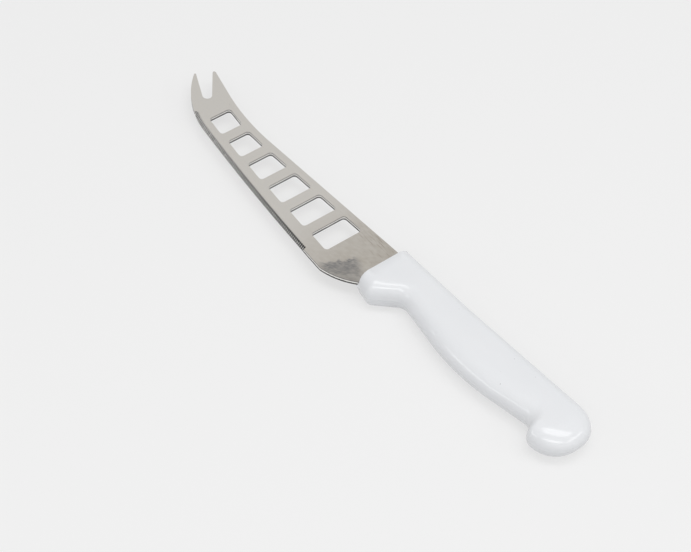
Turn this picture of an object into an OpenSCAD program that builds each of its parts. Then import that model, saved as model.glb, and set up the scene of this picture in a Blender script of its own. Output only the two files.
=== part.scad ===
// Cheese knife: a stamped blade with a forked tip, held in a handle moulded round its tang.
// It lies on its right side. +X runs from the tip to the butt, +Y from the edge to the spine, +Z is up.
// The drawing has x = 0 at the handle's front face and y = 0 at the spine. The whole is then centred.

/* [Blade] */
// Length of blade outside the handle
blade_length = 158; // [150:1:166]
// Width of the blade at its heel
heel_width = 34; // [32:0.2:36]
// Thickness of the polished blade
blade_thickness = 2; // [1.5:0.1:2.5]
// Radius that rounds the tips of the two prongs
prong_radius = 0.5; // [0.3:0.1:0.7]
// Radius at the bottom of the fork
fork_radius = 2.35; // [2.1:0.05:2.6]

/* [Cutting edge] */
// Distance from tooth to tooth
tooth_pitch = 1.2; // [1:0.1:2]
// Depth of the gullets between the teeth
tooth_depth = 0.4; // [0.2:0.05:0.5]
// Width of the land left on each tooth, between the flutes beside it
tooth_land = 0.4; // [0.1:0.05:0.5]
// Width of the bevel, ground on the upper side only
bevel_width = 1.2; // [0.9:0.1:1.8]
// Steel left at the cutting edge
edge_thickness = 0.25; // [0.2:0.05:0.4]
// Plain edge left between the last tooth and the heel
plain_edge = 13.6; // [8:0.2:20]

/* [Windows] */
// Number of windows through the blade
window_count = 6; // [3:1:6]
// Width of each window along the blade
window_width = 12.4; // [9:0.2:13]
// Distance from the first window to the last, between centres
window_span = 90; // [80:1:94]
// Steel left between the windows and the spine
spine_margin = 3.9; // [3:0.1:5]
// Steel left between the first window and the cutting edge
first_margin = 5.2; // [4.6:0.2:6.6]
// Steel left between the last window and the cutting edge
last_margin = 8.2; // [6.6:0.2:9]
// Corner radius of a window
window_radius = 1.6; // [1:0.1:2.4]

/* [Tang] */
// Thickness of the tang, left at the gauge of the sheet
tang_thickness = 2.1; // [1.6:0.1:2.6]
// Length of the tang inside the handle
tang_length = 90; // [70:1:95]
// Width of the tang at its far end
tang_width = 11; // [9:0.5:14]
// Diameter of the holes that the handle's plastic fills
tang_hole = 6; // [4:0.5:7]

/* [Handle] */
// Length of the handle
handle_length = 128; // [122:1:134]
// Thickness of the handle across its flat sides
handle_thickness = 15; // [13:0.5:18]
// How far the guard hangs below the spine
guard_drop = 29.4; // [28:0.2:31]
// How far the belly swells below the spine
belly_drop = 27.9; // [26:0.2:29]
// How far the butt hangs below the spine
butt_drop = 28.6; // [28:0.2:30]
// How squarely the sides turn into the edges: 2 is an ellipse
edge_power = 2.2; // [2:0.1:3]

/* [Hidden] */

// The outlines' corners were set out at these sizes and stretch with the real ones.
bx = blade_length / 158;
by = heel_width / 34;
hx = handle_length / 128;

blade_step = 1.5;
handle_step = 2.6;
ring_steps = 6;
clear = 1;
overlap = 0.01;
side_crown = 0.12;

// Each corner of the blade is [x, y, radius of its rounding].
spine_bend = [-117 * bx, 0, 140 * bx];
upper_prong = [-156.7 * bx, 11.4 * by, 1.6 * prong_radius];
fork_root = [-121.9 * bx, -15.8 * by, fork_radius];
lower_prong = [-159.6 * bx, 2.8 * by, prong_radius];
point_bend = [-143.4 * bx, -15.4 * by, 58 * bx];
edge_bend = [-72 * bx, -28.2 * by, 0];
heel_corner = [-18.1 * bx, -heel_width, 5];
heel_bend = [-8.1 * bx, -31.9 * by, 33 * bx];
front_low = [0, -25.4 * by, 0];
front_high = [0, 0, 0];

// The long curve of the edge starts where the point's curve ends.
edge_reach = norm(flat(point_bend) - flat(edge_bend)) - reach(lower_prong, point_bend, edge_bend);
edge_curve = edge_reach * tan(half_angle(point_bend, edge_bend, heel_corner));
point_arc = corner_arc(lower_prong, point_bend, edge_bend, point_bend[2]);
edge_arc = corner_arc(point_bend, edge_bend, heel_corner, edge_curve);
first_tooth_x = -135.6 * bx;
last_tooth_x = heel_corner.x - plain_edge;

first_window_x = -121 * bx;
window_pitch = window_span * bx / max(1, window_count - 1);
blade_base = handle_thickness / 2 - blade_thickness / 2;

// Each corner of the handle at mid-thickness is [x, y, radius of its rounding].
handle_corners = [
    [0, 2.2, 1.2],
    [43 * hx, 0.7, 260],
    [handle_length, 0.4, 12],
    [handle_length, -butt_drop, 14],
    [110.7 * hx, -butt_drop, 4],
    [105.8 * hx, -21.3, 6.5],
    [64.5 * hx, -belly_drop, 120],
    [19.7 * hx, -18, 6],
    [8.8 * hx, -guard_drop, 3.2],
    [0, -27, 1]
];

// The flat side has the same corners, drawn in as far as the rounded edge is deep there.
land_corners = [
    [0.9, -4.3, 0.8],
    [43 * hx, -5.8, 260],
    [handle_length - 13.5, -6.4, 5],
    [handle_length - 13.5, 9.6 - butt_drop, 1.6],
    [110.8 * hx, 9.6 - butt_drop, 1],
    [106.9 * hx, -12, 5],
    [64.7 * hx, 13 - belly_drop, 112],
    [19.7 * hx, -9.6, 11],
    [7 * hx, 7 - guard_drop, 0.8],
    [0.9, -21.6, 0.8]
];

tang_corners = [
    [0, -3, 0],
    [tang_length, -6, 3],
    [tang_length, -6 - tang_width, 3],
    [24, -17, 12],
    [12, -16, 8],
    [0, -22, 0]
];
tang_hole_places = [[26, -12], [tang_length / 2 + 7, -12], [tang_length - 12, -6 - tang_width / 2]];

// A corner's place, without its radius.
function flat(corner) = [corner.x, corner.y];

function unit(v) = v / norm(v);

// Half the angle between the two sides that meet at corner b.
function half_angle(a, b, c) = acos(unit(flat(a) - flat(b)) * unit(flat(c) - flat(b))) / 2;

// Distance from corner b to the ends of its rounding.
function reach(a, b, c) = b[2] / tan(half_angle(a, b, c));

// An angle brought into the half turn on either side of zero.
function wrapped(angle) = angle - 360 * round(angle / 360);

// The arc that rounds corner b: its centre, radius, first angle and turn.
function corner_arc(a, b, c, r) =
    let (u = unit(flat(a) - flat(b)), v = unit(flat(c) - flat(b)), half = half_angle(a, b, c),
         centre = flat(b) + unit(u + v) * r / sin(half),
         p = flat(b) + u * r / tan(half) - centre, q = flat(b) + v * r / tan(half) - centre,
         first = atan2(p.y, p.x))
    [centre, r, first, wrapped(atan2(q.y, q.x) - first)];

function on_arc(arc, share) =
    let (angle = arc[2] + arc[3] * share)
    arc[0] + arc[1] * [cos(angle), sin(angle)];

function arc_length(arc) = abs(arc[3]) * PI / 180 * arc[1];

function arc_points(arc, step, least = 4) =
    let (n = max(least, ceil(arc_length(arc) / step)))
    [for (i = [0:n]) on_arc(arc, i / n)];

// A closed outline whose corners are rounded to their radii.
function rounded(corners, step) =
    let (n = len(corners))
    [for (i = [0:n - 1])
        let (a = corners[(i + n - 1) % n], b = corners[i], c = corners[(i + 1) % n])
        each (b[2] == 0 ? [flat(b)] : arc_points(corner_arc(a, b, c, b[2]), step))];

// The shares of an arc at which a flute runs down to the edge.
function flute_shares(arc) =
    let (n = round(arc_length(arc) / tooth_pitch))
    [for (i = [0:n - 1])
        let (share = (i + 0.5) / n, x = on_arc(arc, share).x)
        if (x > first_tooth_x && x < last_tooth_x) share];

blade_outline = concat(
    [flat(front_high)],
    arc_points(corner_arc(front_high, spine_bend, upper_prong, spine_bend[2]), blade_step),
    arc_points(corner_arc(spine_bend, upper_prong, fork_root, upper_prong[2]), blade_step),
    arc_points(corner_arc(upper_prong, fork_root, lower_prong, fork_root[2]), blade_step, 10),
    arc_points(corner_arc(fork_root, lower_prong, point_bend, lower_prong[2]), blade_step),
    arc_points(point_arc, blade_step),
    arc_points(edge_arc, 4 * blade_step),
    arc_points(corner_arc(edge_bend, heel_corner, heel_bend, heel_corner[2]), blade_step),
    arc_points(corner_arc(heel_corner, heel_bend, front_low, heel_bend[2]), blade_step),
    [flat(front_low)]);

// The origin is under the middle of the whole knife.
centre_shift = -[min([for (p = blade_outline) p.x]) + handle_length,
    min([for (p = blade_outline) p.y]) + max([for (p = blade_outline) p.y]), 0] / 2;

// Height of the long edge curve and of the spine at a place along the blade.
function edge_y(x) = edge_arc[0].y - sqrt(edge_arc[1] ^ 2 - (x - edge_arc[0].x) ^ 2);
function spine_y(x) =
    let (start = spine_bend.x + reach(front_high, spine_bend, upper_prong))
    x > start ? 0 : spine_bend[2] - sqrt(spine_bend[2] ^ 2 - (x - start) ^ 2);

// Share of an arc at which it passes a place along the blade.
function arc_share(arc, x) =
    let (down = arc[0].y - sqrt(arc[1] ^ 2 - (x - arc[0].x) ^ 2) - arc[0].y)
    wrapped(atan2(down, x - arc[0].x) - arc[2]) / arc[3];

// The points from the middle of one corner's rounding to the middle of the next.
// The outline at mid-thickness sets how many, so that every ring has the same number.
function trail(corners, i) =
    let (n = len(corners), a = corners[(i + n - 1) % n], b = corners[i], c = corners[(i + 1) % n],
         near = corner_arc(a, b, c, b[2]), far = corner_arc(b, c, corners[(i + 2) % n], c[2]),
         from = on_arc(near, 1), to = on_arc(far, 0), counts = trail_counts[i])
    concat([for (k = [0:counts[0] - 1]) on_arc(near, 0.5 + 0.5 * k / counts[0])],
        [for (k = [0:counts[1] - 1]) from + (to - from) * k / counts[1]],
        [for (k = [0:counts[2] - 1]) on_arc(far, 0.5 * k / counts[2])]);

trail_counts =
    let (n = len(handle_corners))
    [for (i = [0:n - 1])
        let (a = handle_corners[(i + n - 1) % n], b = handle_corners[i], c = handle_corners[(i + 1) % n],
             near = corner_arc(a, b, c, b[2]), far = corner_arc(b, c, handle_corners[(i + 2) % n], c[2]))
        [max(3, ceil(arc_length(near) / 2 / handle_step)),
         max(1, ceil(norm(on_arc(far, 0) - on_arc(near, 1)) / handle_step)),
         max(3, ceil(arc_length(far) / 2 / handle_step))]];

middle_line = [for (i = [0:len(handle_corners) - 1]) each trail(handle_corners, i)];
land_line = [for (i = [0:len(handle_corners) - 1]) each trail(land_corners, i)];

// One ring of the handle: an angle of -90 lies on the lower side, 0 at mid-thickness, 90 on the upper side.
function ring(angle) =
    let (inset = 1 - cos(angle) ^ (2 / edge_power),
         rise = sign(angle) * abs(sin(angle)) ^ (2 / edge_power))
    [for (i = [0:len(middle_line) - 1])
        [each (middle_line[i] + (land_line[i] - middle_line[i]) * inset),
         handle_thickness / 2 + rise * (handle_thickness / 2 + side_crown)]];

module handle_body() {
    count = len(middle_line);
    rings = 2 * ring_steps;
    points = [for (k = [0:rings]) each ring(-90 + 180 * k / rings)];
    walls = [for (k = [0:rings - 1]) for (i = [0:count - 1])
        let (j = (i + 1) % count, low = k * count, high = low + count)
        each [[low + i, low + j, high + j], [low + i, high + j, high + i]]];
    caps = [[for (i = [count - 1:-1:0]) i], [for (i = [0:count - 1]) rings * count + i]];
    polyhedron(points, concat(walls, caps), convexity = 6);
}

// The slab between the two flat sides.
module side_slab() {
    translate([-clear, -2 * butt_drop, 0])
        cube([handle_length + 2 * clear, 3 * butt_drop, handle_thickness]);
}

module tang() {
    translate([0, 0, handle_thickness / 2 - tang_thickness / 2])
        linear_extrude(tang_thickness)
            difference() {
                polygon(rounded(tang_corners, blade_step));
                for (place = tang_hole_places)
                    translate(place) circle(d = tang_hole, $fn = 32);
            }
}

// The windows, each a four-sided opening between the spine and the edge.
module windows() {
    for (i = [0:window_count - 1]) {
        middle = first_window_x + window_pitch * i;
        left = middle - window_width / 2;
        right = middle + window_width / 2;
        edge_margin = first_margin + (last_margin - first_margin) * i / max(1, window_count - 1);
        polygon(rounded([
            [left, spine_y(left) - spine_margin, window_radius],
            [right, spine_y(right) - spine_margin, window_radius],
            [right, edge_y(right) + edge_margin, window_radius],
            [left, edge_y(left) + edge_margin, window_radius]], blade_step));
    }
}

// What the grinding wheel takes off one stretch of the edge: a bevel, and flutes that run up it.
module bevel_cut(arc, from, to) {
    rise = (blade_thickness - edge_thickness) / bevel_width;
    translate(arc[0])
        rotate(arc[2] + arc[3] * from)
            rotate_extrude(angle = arc[3] * (to - from), $fn = 720)
                polygon([
                    [arc[1] - bevel_width - clear / rise, blade_thickness + clear],
                    [arc[1] + clear, edge_thickness - clear * rise],
                    [arc[1] + clear, blade_thickness + clear]]);
    for (share = flute_shares(arc))
        translate(on_arc(arc, share))
            rotate(arc[2] + arc[3] * share + 180)
                flute_cut();
}

// One flute: a V that lies as steep as the bevel and ends on the upper face. +X runs in from the edge.
module flute_cut() {
    slope = atan((blade_thickness - edge_thickness) / bevel_width);
    depth = (tooth_depth + edge_thickness / tan(slope)) * sin(slope);
    half_width = (tooth_pitch - tooth_land) / 2;
    length = 2 * clear + blade_thickness / sin(slope) + depth / tan(slope);
    flare = 1.5;
    translate([0, 0, edge_thickness])
        rotate([0, -slope, 0])
            translate([-clear, 0, 0])
                rotate([90, 0, 90])
                    linear_extrude(length)
                        polygon([
                            [0, -depth],
                            [flare * half_width, (flare - 1) * depth],
                            [-flare * half_width, (flare - 1) * depth]]);
}

module blade() {
    color("#c4c1bb")
        translate(centre_shift) {
            translate([0, 0, blade_base])
                difference() {
                    linear_extrude(blade_thickness)
                        difference() {
                            polygon(blade_outline);
                            windows();
                        }
                    bevel_cut(point_arc, arc_share(point_arc, first_tooth_x), 1 + overlap);
                    bevel_cut(edge_arc, 0, arc_share(edge_arc, last_tooth_x));
                }
            tang();
        }
}

module handle() {
    color("#e4e7ea")
        translate(centre_shift)
            difference() {
                intersection() {
                    handle_body();
                    side_slab();
                }
                tang();
            }
}

blade();
handle();
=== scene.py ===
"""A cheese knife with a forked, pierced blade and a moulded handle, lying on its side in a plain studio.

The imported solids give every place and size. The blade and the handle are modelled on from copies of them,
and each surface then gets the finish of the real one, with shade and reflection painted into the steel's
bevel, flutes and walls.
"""

from __future__ import annotations

import logging
import math
from collections.abc import Callable
from dataclasses import dataclass, field
from enum import Enum, IntEnum
from typing import Any, Union

import bpy
from mathutils import Matrix, Vector

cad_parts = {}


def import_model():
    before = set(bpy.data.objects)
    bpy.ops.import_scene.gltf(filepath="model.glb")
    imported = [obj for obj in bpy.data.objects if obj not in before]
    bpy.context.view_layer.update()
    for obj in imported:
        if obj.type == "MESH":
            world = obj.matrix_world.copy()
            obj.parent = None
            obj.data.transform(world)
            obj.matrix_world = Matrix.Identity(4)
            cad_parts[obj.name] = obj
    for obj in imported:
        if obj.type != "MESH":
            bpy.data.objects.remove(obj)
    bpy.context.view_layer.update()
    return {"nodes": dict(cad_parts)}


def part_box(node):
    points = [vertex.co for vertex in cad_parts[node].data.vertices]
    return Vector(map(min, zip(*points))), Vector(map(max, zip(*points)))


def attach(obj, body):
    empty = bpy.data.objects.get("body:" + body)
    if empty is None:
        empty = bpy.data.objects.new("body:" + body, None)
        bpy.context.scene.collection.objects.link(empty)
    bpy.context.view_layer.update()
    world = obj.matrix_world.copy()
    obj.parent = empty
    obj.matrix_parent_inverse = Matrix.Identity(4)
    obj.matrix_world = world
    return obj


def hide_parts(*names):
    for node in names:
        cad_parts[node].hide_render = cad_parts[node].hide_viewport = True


MM = 0.001
BODY = "root"

Colour = tuple[float, float, float, float]
Triple = tuple[float, float, float]
Sockets = dict[int | str, Any]
Number = Union["Signal", float]

log = logging.getLogger("cheese_knife")


def srgb(red: int, green: int, blue: int) -> Colour:
    """A colour given by its picture values from 0 to 255, as the shaders need it.

    Args:
        red: The red picture value.
        green: The green picture value.
        blue: The blue picture value.

    Returns:
        The linear colour, with full opacity.
    """

    def linear(value: int) -> float:
        """One channel, from its picture value to its share of light."""
        share = value / 255
        return share / 12.92 if share <= 0.04045 else ((share + 0.055) / 1.055) ** 2.4

    return (linear(red), linear(green), linear(blue), 1.0)


class Signal:
    """A number that a node gives, with arithmetic that adds Math nodes."""

    def __init__(self, tree: Tree, socket: bpy.types.NodeSocket) -> None:
        """Keeps the socket and the tree that it belongs to.

        Args:
            tree: The tree that new nodes go to.
            socket: The output that holds the number.
        """
        self.tree = tree
        self.socket = socket

    def math(self, operation: str, *operands: Number) -> Signal:
        """The result of a Math node.

        Args:
            operation: The Math node's operation.
            operands: What goes into its sockets, in order.

        Returns:
            The node's output.
        """
        return self.tree.number("ShaderNodeMath", {"operation": operation}, dict(enumerate(operands)))

    def __add__(self, other: Number) -> Signal:
        """self + other."""
        return self.math("ADD", self, other)

    __radd__ = __add__

    def __sub__(self, other: Number) -> Signal:
        """self - other."""
        return self.math("SUBTRACT", self, other)

    def __rsub__(self, other: Number) -> Signal:
        """other - self."""
        return self.math("SUBTRACT", other, self)

    def __mul__(self, other: Number) -> Signal:
        """self * other."""
        return self.math("MULTIPLY", self, other)

    __rmul__ = __mul__

    def larger(self, other: Number) -> Signal:
        """The larger of the two numbers."""
        return self.math("MAXIMUM", self, other)

    def ramp(self, low: float, high: float) -> Signal:
        """A soft step.

        Args:
            low: Where it is still 0.
            high: Where it has become 1, which may be below low.

        Returns:
            The step, from 0 to 1.
        """
        return self.tree.number(
            "ShaderNodeMapRange",
            {"interpolation_type": "SMOOTHSTEP"},
            {"Value": self, "From Min": low, "From Max": high},
        )


class Tree:
    """The nodes of one material, or of the world."""

    def __init__(self, owner: bpy.types.Material | bpy.types.World) -> None:
        """Empties the owner's tree.

        Args:
            owner: The material or world whose nodes are made.
        """
        owner.use_nodes = True
        self.nodes = owner.node_tree.nodes
        self.links = owner.node_tree.links
        self.nodes.clear()

    def node(
        self, kind: str, settings: dict[str, Any] | None = None, sockets: Sockets | None = None
    ) -> bpy.types.Node:
        """Adds a node.

        Args:
            kind: The node's type.
            settings: The node's own settings, which are set first.
            sockets: The values or links of its input sockets, by name or place.

        Returns:
            The new node.
        """
        made = self.nodes.new(kind)
        for name, value in (settings or {}).items():
            setattr(made, name, value)
        for key, value in (sockets or {}).items():
            source = value.socket if isinstance(value, Signal) else value
            if isinstance(source, bpy.types.NodeSocket):
                self.links.new(source, made.inputs[key])
            else:
                made.inputs[key].default_value = source
        return made

    def number(self, kind: str, settings: dict[str, Any], sockets: Sockets) -> Signal:
        """A node's first output, for use in arithmetic.

        Args:
            kind: The node's type.
            settings: The node's own settings.
            sockets: The values or links of its input sockets.

        Returns:
            The output as a signal.
        """
        return Signal(self, self.node(kind, settings, sockets).outputs[0])

    def place(self) -> bpy.types.NodeSocket:
        """The place on the object, in metres."""
        return self.node("ShaderNodeTexCoord").outputs["Object"]

    def along(self, axis: int, place: bpy.types.NodeSocket | None = None) -> Signal:
        """One coordinate of the place on the object.

        Args:
            axis: 0, 1 or 2 for X, Y or Z.
            place: The place to split, if it isn't the object's own.

        Returns:
            The coordinate.
        """
        split = self.node("ShaderNodeSeparateXYZ", None, {0: place or self.place()})
        return Signal(self, split.outputs[axis])

    def rise(self, low: float, high: float) -> Signal:
        """How far up the place lies between two heights.

        Args:
            low: The height that gives 0.
            high: The height that gives 1.

        Returns:
            The share of the way up.
        """
        return (self.along(2) - low) * (1 / (high - low))

    def turned(self, middle: Triple, turn: float, size: Triple = (1, 1, 1)) -> bpy.types.NodeSocket:
        """The place on the object in axes of its own.

        Args:
            middle: Where these axes start.
            turn: How far they are turned about Z, in degrees.
            size: Their units along X, Y and Z, in metres.

        Returns:
            The place in these axes.
        """
        mapping = self.node("ShaderNodeMapping", {"vector_type": "TEXTURE"}, {
            "Vector": self.place(),
            "Location": middle,
            "Rotation": (0, 0, math.radians(turn)),
            "Scale": size,
        })
        return mapping.outputs[0]

    def grain(self, size: Triple, detail: float = 2.0, turn: float = 0.0) -> Signal:
        """Noise in grains of a given size.

        Args:
            size: The size of a grain along X, Y and Z, in metres.
            detail: How many finer layers it has.
            turn: How far the grains are turned about Z, in degrees.

        Returns:
            The noise, from 0 to 1 and about 0.5 on average.
        """
        place = self.turned((0, 0, 0), turn, size)
        return self.number("ShaderNodeTexNoise", {}, {"Vector": place, "Scale": 1.0, "Detail": detail})

    def blend(self, share: Number, first: Any, second: Any) -> bpy.types.NodeSocket:
        """A mix of two colours.

        Args:
            share: How much of the second one there is.
            first: A colour, or the output that gives it.
            second: A colour, or the output that gives it.

        Returns:
            The mixed colour.
        """
        mix = self.node("ShaderNodeMix", {"data_type": "RGBA"}, {0: share, 6: first, 7: second})
        return mix.outputs[2]

    def relief(
        self, height: Signal, depth: float, below: bpy.types.NodeSocket | None = None
    ) -> bpy.types.NodeSocket:
        """The normal of a surface with fine relief.

        Args:
            height: The relief, from 0 to 1.
            depth: How deep it is, in metres.
            below: The normal of a coarser relief that it lies on.

        Returns:
            The normal.
        """
        sockets: Sockets = {"Strength": 1.0, "Distance": depth, "Height": height}
        if below is not None:
            sockets["Normal"] = below
        return self.node("ShaderNodeBump", None, sockets).outputs[0]

    def surface(self, sockets: Sockets) -> None:
        """Ends a material in a Principled shader.

        Args:
            sockets: The values or links of the shader's sockets.
        """
        shader = self.node("ShaderNodeBsdfPrincipled", None, sockets)
        self.node("ShaderNodeOutputMaterial", None, {"Surface": shader.outputs[0]})


@dataclass(frozen=True)
class SatinSteel:
    """The broad faces of the blade: polished sheet, dulled and smudged towards the handle."""

    name: str = "satin_steel"
    bright: Colour = srgb(195, 192, 187)
    dull: Colour = srgb(164, 158, 149)
    smudge: Colour = srgb(108, 109, 111)
    scored: Colour = srgb(118, 106, 95)
    line_grain: Triple = (22 * MM, 0.16 * MM, 5 * MM)
    scratch_grain: Triple = (5 * MM, 0.3 * MM, 5 * MM)
    blotch_grain: Triple = (3.4 * MM, 2 * MM, 3 * MM)
    stroke_grain: Triple = (1.8 * MM, 0.3 * MM, 2 * MM)
    cloud_grain: Triple = (16 * MM, 7 * MM, 5 * MM)
    speck_grain: Triple = (0.5 * MM, 0.4 * MM, 1 * MM)
    dull_from: float = -42 * MM
    dull_to: float = 12 * MM
    scored_from: float = 0 * MM
    scored_to: float = 9 * MM
    scratch_turn: float = -4.0
    blotch_turn: float = 30.0
    smudge_border: Triple = (-1.3 * MM, -12.8 * MM, 0)
    smudge_turn: float = 64.0
    smudge_half: float = 5.6 * MM
    smudge_depth: float = 16 * MM
    smudge_soft: float = 0.8 * MM
    stroke_jag: float = 3 * MM
    blotch_jag: float = 2.4 * MM
    line_depth: float = 0.006 * MM
    cloud_depth: float = 0.01 * MM

    def make(self) -> bpy.types.Material:
        """The finish as a material.

        Returns:
            The material.
        """
        material = bpy.data.materials.new(self.name)
        tree = Tree(material)
        lines = tree.grain(self.line_grain, 3.0)
        scratches = tree.grain(self.scratch_grain, 2.0, self.scratch_turn).ramp(0.56, 0.72)
        blotches = tree.grain(self.blotch_grain, 4.0, self.blotch_turn).ramp(0.3, 0.7)
        strokes = tree.grain(self.stroke_grain, 2.0, self.smudge_turn)
        clouds = tree.grain(self.cloud_grain, 2.0)
        specks = tree.grain(self.speck_grain, 1.0).ramp(0.74, 0.8)
        near = tree.along(0).ramp(self.dull_from, self.dull_to)
        worn = near * (0.4 + 0.5 * clouds + 0.25 * blotches)
        scored = near * scratches * (0.15 + 0.6 * tree.along(1).ramp(self.scored_from, self.scored_to))
        border = tree.turned(self.smudge_border, self.smudge_turn)
        jag = self.stroke_jag * (strokes - 0.5) + self.blotch_jag * (blotches - 0.5)
        across = tree.along(1, border) + jag
        ends = (-self.smudge_half, self.smudge_half)
        first, last = (tree.along(0, border).ramp(2 * end, end) for end in ends)
        fresh = across.ramp(-self.smudge_depth, 0) * (0.1 + 0.5 * strokes.ramp(0.4, 0.62))
        smudged = across.ramp(self.smudge_soft, -self.smudge_soft) * first * last
        rubbed = smudged * (0.32 + 0.14 * blotches + fresh)
        colour = tree.blend(worn, self.bright, self.dull)
        colour = tree.blend(scored, colour, self.scored)
        colour = tree.blend(rubbed, colour, self.smudge)
        colour = tree.blend(0.35 * specks, colour, self.smudge)
        tree.surface({
            "Base Color": tree.blend(0.16 * lines, colour, self.dull),
            "Metallic": 1.0,
            "Roughness": 0.27 + 0.16 * lines + 0.12 * worn,
            "Normal": tree.relief(lines, self.line_depth, tree.relief(clouds, self.cloud_depth)),
        })
        return material


@dataclass(frozen=True)
class ShearedSteel:
    """The punched walls: a bright stripe between a dark rim band above and dark torn steel below; the rim
    band is painted shade, the stripe partly real burnish and partly painted sheen, the torn steel partly
    real and partly painted shade.
    """

    name: str = "sheared_steel"
    # Bright stripe colour: partly real burnish, partly painted sheen.
    burnished_and_sheen: Colour = srgb(242, 240, 236)
    torn_and_shade: Colour = srgb(88, 87, 87)
    stripe_grain: Triple = (0.35 * MM, 0.35 * MM, 6 * MM)
    rim_shade_at: float = 0.76
    rim_shade_soft: float = 0.05
    torn_at: float = 0.42
    torn_soft: float = 0.06
    ragged: float = 0.4
    stripe_depth: float = 0.03 * MM

    def make(self, low: float, high: float) -> bpy.types.Material:
        """The finish as a material.

        Args:
            low: Height of the sheet's lower face.
            high: Height of its upper face.

        Returns:
            The material.
        """
        material = bpy.data.materials.new(self.name)
        tree = Tree(material)
        stripes = tree.grain(self.stripe_grain, 2.0)
        share = tree.rise(low, high)
        # The torn steel below is partly the real fracture zone and partly painted shade.
        torn_edge = share + self.ragged * (stripes - 0.5)
        torn_and_shade = torn_edge.ramp(self.torn_at + self.torn_soft, self.torn_at - self.torn_soft)
        # Painted shade: a dark band along the top of the wall, at the rolled rim.
        rim_shade = share.ramp(self.rim_shade_at - self.rim_shade_soft, self.rim_shade_at + self.rim_shade_soft)
        tree.surface({
            "Base Color": tree.blend(torn_and_shade.larger(0.9 * rim_shade), self.burnished_and_sheen, self.torn_and_shade),
            "Metallic": 1.0,
            "Roughness": 0.24 + 0.3 * torn_and_shade + 0.1 * stripes,
            "Normal": tree.relief(stripes, self.stripe_depth),
        })
        return material


@dataclass(frozen=True)
class GroundSteel:
    """The bevel along the cutting edge and its flutes: wheel scratches, and painted shade along both sides,
    deeper towards the handle.
    """

    name: str
    bright: Colour
    dark: Colour
    lit_from: float
    lit_to: float
    # Colour of the painted shade along the sides of the bevel and over the flutes.
    painted_shade: Colour = srgb(46, 46, 46)
    scratch_grain: Triple = (0.09 * MM, 2.5 * MM, 2.5 * MM)
    painted_shade_from: float = -125 * MM
    painted_shade_to: float = -10 * MM
    inner_soft: float = 0.08
    outer_soft: float = 0.06
    scratch_depth: float = 0.001 * MM

    def make(self, low: float, high: float) -> bpy.types.Material:
        """The finish as a material.

        Args:
            low: Height of the sheet's lower face.
            high: Height of its upper face.

        Returns:
            The material.
        """
        material = bpy.data.materials.new(self.name)
        tree = Tree(material)
        scratches = tree.grain(self.scratch_grain, 2.0)
        share = tree.rise(low, high)
        inner = share.ramp(self.lit_to - self.inner_soft, self.lit_to + self.inner_soft)
        outer = share.ramp(self.lit_from + self.outer_soft, self.lit_from - self.outer_soft)
        # Painted shade: dark bands along both sides of the bevel, growing towards the handle.
        shaded = tree.along(0).ramp(self.painted_shade_from, self.painted_shade_to) * inner.larger(0.6 * outer)
        ground = tree.blend(scratches, self.bright, self.dark)
        tree.surface({
            "Base Color": tree.blend(0.9 * shaded, ground, self.painted_shade),
            "Metallic": 1.0,
            "Roughness": 0.16 + 0.12 * scratches,
            "Normal": tree.relief(scratches, self.scratch_depth),
        })
        return material


@dataclass(frozen=True)
class GlossPlastic:
    """The handle: white plastic from a polished mould, with a faint flow and a few dark specks."""

    name: str = "gloss_white_plastic"
    white: Colour = srgb(231, 232, 234)
    shade: Colour = srgb(225, 227, 230)
    speck: Colour = srgb(120, 118, 116)
    flow_grain: Triple = (30 * MM, 12 * MM, 12 * MM)
    wave_grain: Triple = (3.5 * MM, 3.5 * MM, 3.5 * MM)
    scuff_grain: Triple = (0.25 * MM, 9 * MM, 4 * MM)
    speck_grain: Triple = (0.8 * MM, 0.8 * MM, 0.8 * MM)
    scuff_turn: float = 35.0
    wave_depth: float = 0.012 * MM
    flow_depth: float = 0.05 * MM

    def make(self) -> bpy.types.Material:
        """The finish as a material.

        Returns:
            The material.
        """
        material = bpy.data.materials.new(self.name)
        tree = Tree(material)
        flow = tree.grain(self.flow_grain, 2.0)
        waves = tree.grain(self.wave_grain, 1.0)
        scuffs = tree.grain(self.scuff_grain, 2.0, self.scuff_turn).ramp(0.6, 0.78)
        specks = tree.grain(self.speck_grain, 0.0).ramp(0.88, 0.91)
        tree.surface({
            "Base Color": tree.blend(0.6 * specks, tree.blend(flow, self.white, self.shade), self.speck),
            "Roughness": 0.07 + 0.03 * flow + 0.08 * scuffs,
            "IOR": 1.5,
            "Normal": tree.relief(waves, self.wave_depth, tree.relief(flow, self.flow_depth)),
        })
        return material


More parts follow.
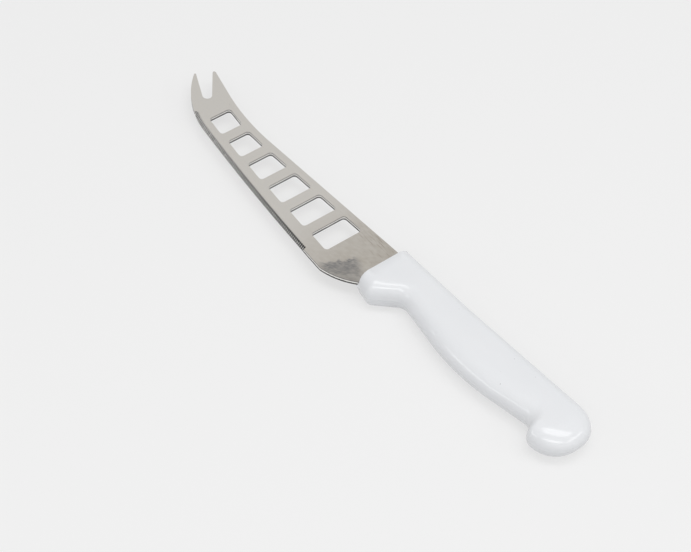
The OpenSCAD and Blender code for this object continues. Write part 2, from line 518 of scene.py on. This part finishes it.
class Bench:
    """Steps of modelling by hand that every piece shares."""

    merge_distance: float = 0.002 * MM

    @staticmethod
    def copy_of(node: bpy.types.Object, name: str) -> bpy.types.Object:
        """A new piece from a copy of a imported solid, merged into one skin and left active.

        Args:
            node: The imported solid's object.
            name: The new piece's name.

        Returns:
            The new piece.
        """
        bpy.ops.object.select_all(action="DESELECT")
        piece = bpy.data.objects.new(name, node.data.copy())
        piece.data.name = name
        piece.data.materials.clear()
        bpy.context.scene.collection.objects.link(piece)
        bpy.context.view_layer.objects.active = piece
        piece.select_set(True)
        Bench.edit()
        bpy.ops.mesh.select_all(action="SELECT")
        bpy.ops.mesh.remove_doubles(threshold=Bench.merge_distance)
        return piece

    @staticmethod
    def edit() -> None:
        """Goes into edit mode."""
        bpy.ops.object.mode_set(mode="EDIT")

    @staticmethod
    def done() -> None:
        """Goes back to object mode."""
        bpy.ops.object.mode_set(mode="OBJECT")

    @staticmethod
    def select_faces(piece: bpy.types.Object, wanted: Callable[[bpy.types.MeshPolygon], bool]) -> None:
        """Selects the faces that answer a question with yes, and no others.

        Args:
            piece: The piece, which is in edit mode before and after.
            wanted: The question.
        """
        bpy.ops.mesh.select_mode(type="FACE")
        bpy.ops.mesh.select_all(action="DESELECT")
        Bench.done()
        for face in piece.data.polygons:
            face.select = wanted(face)
        Bench.edit()

    @staticmethod
    def select_edges(piece: bpy.types.Object, wanted: Callable[[bpy.types.MeshEdge], bool]) -> None:
        """Selects the edges that answer a question with yes, and no others.

        Args:
            piece: The piece, which is in edit mode before and after.
            wanted: The question.
        """
        bpy.ops.mesh.select_mode(type="EDGE")
        bpy.ops.mesh.select_all(action="DESELECT")
        Bench.done()
        for edge in piece.data.edges:
            edge.select = wanted(edge)
        Bench.edit()


class BladeSlot(IntEnum):
    """The blade's finishes, from the flattest faces to the steepest."""

    FACE = 0
    BEVEL = 1
    FLUTE = 2
    WALL = 3


@dataclass
class Blade:
    """The stamped blade: sheet steel with a forked tip, windows, a serrated bevel and a hidden tang."""

    node: str = "blade"
    name: str = "blade_steel"
    steep: float = 0.2
    fluted: float = 0.49
    flat: float = 0.999
    lengthwise: float = 0.5
    full_height: float = 0.99
    level_slack: float = 0.001 * MM
    tip_length: float = 20 * MM
    rim_radius: float = 0.2 * MM
    flat_angle: float = 0.5
    crease_angle: float = 28.0
    faces: SatinSteel = field(default_factory=SatinSteel)
    walls: ShearedSteel = field(default_factory=ShearedSteel)
    bevel: GroundSteel = GroundSteel(
        "ground_steel",
        bright=srgb(240, 239, 236),
        dark=srgb(206, 204, 200),
        lit_from=0.36,
        lit_to=0.74,
    )
    # The flutes' dark colours are painted shade, standing in for the dark surroundings that they mirror.
    flutes: GroundSteel = GroundSteel(
        "shaded_fluted_steel",
        bright=srgb(130, 129, 128),
        dark=srgb(92, 92, 92),
        lit_from=1.0,
        lit_to=0.0,
    )

    def build(self, solid: bpy.types.Object) -> bpy.types.Object:
        """Models the blade from its solid.

        Args:
            solid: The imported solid.

        Returns:
            The finished piece.
        """
        piece = Bench.copy_of(solid, self.name)
        bpy.ops.mesh.select_all(action="SELECT")
        bpy.ops.mesh.dissolve_limited(angle_limit=math.radians(self.flat_angle))
        Bench.done()
        self.dress(piece)
        self.ease_rims(piece)
        self.shade(piece)
        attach(piece, BODY)
        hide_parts(self.node)
        return piece

    def levels(self, piece: bpy.types.Object) -> tuple[float, float]:
        """Heights of the sheet's two broad faces, read near the tip, clear of the thicker tang.

        Args:
            piece: The modelled blade.

        Returns:
            The lower and the upper height.
        """
        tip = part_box(self.node)[0].x + self.tip_length
        heights = [point.co.z for point in piece.data.vertices if point.co.x < tip]
        return min(heights), max(heights)

    def full_walls(self, piece: bpy.types.Object) -> set[int]:
        """Walls that reach from one broad face of the sheet to the other.

        Args:
            piece: The modelled blade.

        Returns:
            The places of these faces in the mesh.
        """
        low, high = self.levels(piece)
        walls: set[int] = set()
        for face in piece.data.polygons:
            heights = [piece.data.vertices[index].co.z for index in face.vertices]
            is_full = max(heights) - min(heights) > self.full_height * (high - low)
            if is_full and abs(face.normal.z) < self.steep:
                walls.add(face.index)
        return walls

    def dress(self, piece: bpy.types.Object) -> None:
        """Gives the broad faces, the punched walls, the flutes and the bevel their finishes.

        Args:
            piece: The modelled blade.
        """
        low, high = self.levels(piece)
        finishes = {
            BladeSlot.FACE: self.faces.make(),
            BladeSlot.BEVEL: self.bevel.make(low, high),
            BladeSlot.FLUTE: self.flutes.make(low, high),
            BladeSlot.WALL: self.walls.make(low, high),
        }
        for slot in BladeSlot:
            piece.data.materials.append(finishes[slot])
        walls = self.full_walls(piece)
        limits = (self.flat, self.fluted, self.steep)
        for face in piece.data.polygons:
            slot = BladeSlot(sum(abs(face.normal.z) < limit for limit in limits))
            if slot is BladeSlot.WALL and face.normal.x > self.lengthwise and face.index not in walls:
                slot = BladeSlot.FLUTE
            face.material_index = slot

    def ease_rims(self, piece: bpy.types.Object) -> None:
        """Takes the sharpness off every rim of the sheet, apart from the teeth.

        Args:
            piece: The dressed blade.
        """
        points = piece.data.vertices
        levels = self.levels(piece)
        walls = {key for index in self.full_walls(piece) for key in piece.data.polygons[index].edge_keys}

        def is_rim(edge: bpy.types.MeshEdge) -> bool:
            """Whether an edge is where a full wall meets one of the broad faces."""
            off = [max(abs(points[index].co.z - level) for index in edge.vertices) for level in levels]
            return edge.key in walls and min(off) < self.level_slack

        Bench.edit()
        Bench.select_edges(piece, is_rim)
        bpy.ops.mesh.bevel(
            offset=self.rim_radius,
            segments=2,
            affect="EDGES",
            clamp_overlap=True,
            material=BladeSlot.FACE,
        )
        Bench.done()

    def shade(self, piece: bpy.types.Object) -> None:
        """Shades the eased rims smooth and the broad faces flat.

        Args:
            piece: The eased blade.
        """
        bpy.ops.object.shade_smooth_by_angle(angle=math.radians(self.crease_angle))
        Bench.edit()
        Bench.select_faces(piece, lambda face: abs(face.normal.z) > self.flat)
        bpy.ops.mesh.faces_shade_flat()
        Bench.done()


@dataclass
class Handle:
    """The handle: one white moulding round the tang."""

    node: str = "handle"
    name: str = "handle_moulding"
    flat: float = 0.9999
    crease_angle: float = 38.0
    front_depth: float = 2.5 * MM
    quad_bend: float = 60.0
    quad_skew: float = 120.0
    quad_rows: float = 1.5
    cuts: int = 2
    smoothing: int = 16
    smoothing_share: float = 0.5
    seam_slack: float = 0.01 * MM
    seam_width: float = 0.4 * MM
    seam_height: float = 0.08 * MM
    nib_place: float = -15.2 * MM
    nib_root: float = 0.7 * MM
    nib_reach: float = 1.6 * MM
    nib_shift: Triple = (-0.5 * MM, -1.0 * MM, 0)
    plastic: GlossPlastic = field(default_factory=GlossPlastic)

    def build(self, solid: bpy.types.Object) -> bpy.types.Object:
        """Models the handle from its solid.

        Args:
            solid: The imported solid.

        Returns:
            The finished piece.
        """
        piece = Bench.copy_of(solid, self.name)
        low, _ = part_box(self.node)
        Bench.select_faces(piece, lambda face: abs(face.normal.z) < self.flat)
        bpy.ops.mesh.tris_convert_to_quads(
            face_threshold=math.radians(self.quad_bend),
            shape_threshold=math.radians(self.quad_skew),
            topology_influence=self.quad_rows,
        )
        bpy.ops.mesh.subdivide(number_cuts=self.cuts)
        Bench.select_faces(piece, lambda face: (
            abs(face.normal.z) < self.flat and face.center.x > low.x + self.front_depth))
        bpy.ops.mesh.vertices_smooth(factor=self.smoothing_share, repeat=self.smoothing)
        self.raise_seam(piece)
        Bench.done()
        bpy.ops.object.shade_smooth_by_angle(angle=math.radians(self.crease_angle))
        piece.data.materials.append(self.plastic.make())
        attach(piece, BODY)
        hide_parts(self.node)
        return piece

    def raise_seam(self, piece: bpy.types.Object) -> None:
        """Raises the faint line where the mould's halves met, with a nib of flash at the front.

        Args:
            piece: The smoothed handle, in edit mode.
        """
        low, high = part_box(self.node)
        middle = (low.z + high.z) / 2
        nib = Vector((low.x, self.nib_place, middle))

        def on_seam(edge: bpy.types.MeshEdge) -> bool:
            """Whether an edge lies along the mid-plane."""
            heights = [piece.data.vertices[index].co.z for index in edge.vertices]
            return all(abs(height - middle) < self.seam_slack for height in heights)

        def at_nib(edge: bpy.types.MeshEdge) -> bool:
            """Whether an edge of the seam lies at the nib."""
            ends = [piece.data.vertices[index].co for index in edge.vertices]
            return on_seam(edge) and all((end - nib).length < self.nib_root for end in ends)

        Bench.select_edges(piece, on_seam)
        bpy.ops.mesh.bevel(offset=self.seam_width / 2, segments=2, affect="EDGES")
        Bench.select_edges(piece, on_seam)
        bpy.ops.transform.shrink_fatten(value=self.seam_height)
        Bench.select_edges(piece, at_nib)
        bpy.ops.transform.translate(
            value=self.nib_shift,
            use_proportional_edit=True,
            use_proportional_connected=True,
            proportional_edit_falloff="SHARP",
            proportional_size=self.nib_reach,
        )


class Ray(Enum):
    """Kinds of light path that see the bare studio round the knife."""

    CAMERA = "Is Camera Ray"
    GLOSSY = "Is Glossy Ray"
    TRANSMISSION = "Is Transmission Ray"


@dataclass(frozen=True)
class SoftBox:
    """A studio lamp that faces the knife, with its long side level."""

    name: str
    elevation: float
    azimuth: float
    width: float
    height: float
    radiance: float
    slide: float = 0.0
    distance: float = 1.3

    def hang(self) -> None:
        """Places the lamp, slid along its long side."""
        level, turn = math.radians(self.elevation), math.radians(self.azimuth)
        out = math.cos(level)
        towards = Vector((math.sin(turn) * out, -math.cos(turn) * out, math.sin(level)))
        along = Vector((math.cos(turn), math.sin(turn), 0))
        data = bpy.data.lights.new(self.name, "AREA")
        data.shape = "ELLIPSE"
        data.size, data.size_y = self.width, self.height
        data.energy = self.radiance * math.pi * (math.pi / 4 * self.width * self.height)
        lamp = bpy.data.objects.new(self.name, data)
        lamp.location = towards * self.distance + along * self.slide
        lamp.rotation_euler = towards.to_track_quat("Z", "Y").to_euler()
        bpy.context.scene.collection.objects.link(lamp)


@dataclass
class Studio:
    """A plain white studio: floor, sky, soft lamps and the camera."""

    floor_size: float = 12.0
    floor_gap: float = 0.1 * MM
    floor_colour: Colour = (0.68, 0.68, 0.68, 1.0)
    floor_glow: float = 0.6
    sky_light: float = 0.52
    dark_side: tuple[float, float] = (-0.6, -0.8)
    dark_spread: tuple[float, float] = (0.15, 0.85)
    dark_rise: tuple[float, float] = (0.6, 0.3)
    dark_light: float = 0.8
    lens: float = 112.3
    nearest: float = 0.05
    camera_place: Triple = (0.5045, -0.4695, 0.6933)
    camera_aim: Triple = (0.0072, -0.0158, 0.0075)
    camera_roll: float = 3.7
    lamps: tuple[SoftBox, ...] = (
        SoftBox("top_lamp", elevation=87, azimuth=47.6, width=1.55, height=0.6, radiance=2.6, slide=0.32),
        SoftBox("front_lamp", elevation=42, azimuth=47.6, width=1.5, height=0.28, radiance=3.5),
        SoftBox("right_lamp", elevation=31, azimuth=115, width=0.9, height=0.2, radiance=2.8),
        SoftBox("left_lamp", elevation=21, azimuth=-23, width=0.7, height=0.26, radiance=2.6),
    )

    def build(self) -> None:
        """Sets up the whole studio."""
        bpy.context.scene.view_settings.view_transform = "Standard"
        self.lay_floor()
        self.light()
        self.aim_camera()

    @staticmethod
    def seen_by(tree: Tree, *rays: Ray) -> Signal:
        """Whether a light path is one of these kinds.

        Args:
            tree: The tree that asks.
            rays: The kinds.

        Returns:
            1 for such a path, otherwise 0.
        """
        path = tree.node("ShaderNodeLightPath")
        first, *others = (Signal(tree, path.outputs[ray.value]) for ray in rays)
        for other in others:
            first = first.larger(other)
        return first

    def lay_floor(self) -> None:
        """Lays a white floor that keeps the knife's shadow."""
        bpy.ops.object.select_all(action="DESELECT")
        bpy.ops.mesh.primitive_plane_add(size=self.floor_size, location=(0, 0, -self.floor_gap))
        floor = bpy.context.object
        floor.name = "floor"
        material = bpy.data.materials.new("pale_floor")
        tree = Tree(material)
        matt = tree.node("ShaderNodeBsdfDiffuse", None, {"Color": self.floor_colour})
        glow = tree.node("ShaderNodeEmission", None, {"Color": (1, 1, 1, 1), "Strength": 1.0})
        share = self.floor_glow * self.seen_by(tree, *Ray)
        mixed = tree.node("ShaderNodeMixShader", None, {0: share, 1: matt.outputs[0], 2: glow.outputs[0]})
        tree.node("ShaderNodeOutputMaterial", None, {"Surface": mixed.outputs[0]})
        floor.data.materials.append(material)

    def light(self) -> None:
        """Hangs the lamps and lights the sky."""
        for lamp in self.lamps:
            lamp.hang()
        world = bpy.data.worlds.new("studio")
        bpy.context.scene.world = world
        tree = Tree(world)
        way = tree.node("ShaderNodeTexCoord").outputs["Generated"]
        facing = self.dark_side[0] * tree.along(0, way) + self.dark_side[1] * tree.along(1, way)
        dark = facing.ramp(*self.dark_spread) * tree.along(2, way).ramp(*self.dark_rise)
        mirrored = 1.0 - (1.0 - self.dark_light) * dark
        camera = self.seen_by(tree, Ray.CAMERA)
        glossy = self.seen_by(tree, Ray.GLOSSY, Ray.TRANSMISSION)
        plain = 1.0 - camera.larger(glossy)
        strength = camera + (1.0 - camera) * glossy * mirrored + self.sky_light * plain
        sky = tree.node("ShaderNodeBackground", None, {"Color": (1, 1, 1, 1), "Strength": strength})
        tree.node("ShaderNodeOutputWorld", None, {"Surface": sky.outputs[0]})

    def aim_camera(self) -> None:
        """Places the camera where the photograph was taken from."""
        data = bpy.data.cameras.new("camera")
        data.lens = self.lens
        data.clip_start = self.nearest
        camera = bpy.data.objects.new("camera", data)
        place = Vector(self.camera_place)
        turn = (Vector(self.camera_aim) - place).to_track_quat("-Z", "Y").to_matrix()
        turn = turn @ Matrix.Rotation(math.radians(self.camera_roll), 3, "Z")
        camera.matrix_world = Matrix.Translation(place) @ turn.to_4x4()
        bpy.context.scene.collection.objects.link(camera)
        bpy.context.scene.camera = camera


def main() -> None:
    """Builds the knife and its studio, and logs the face count of each piece."""
    logging.basicConfig(level=logging.INFO, format="%(name)s: %(message)s")
    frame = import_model()
    Studio().build()
    for part in (Blade(), Handle()):
        piece = part.build(frame["nodes"][part.node])
        log.info("%s: %d faces", piece.name, len(piece.data.polygons))


if __name__ == "__main__":
    main()
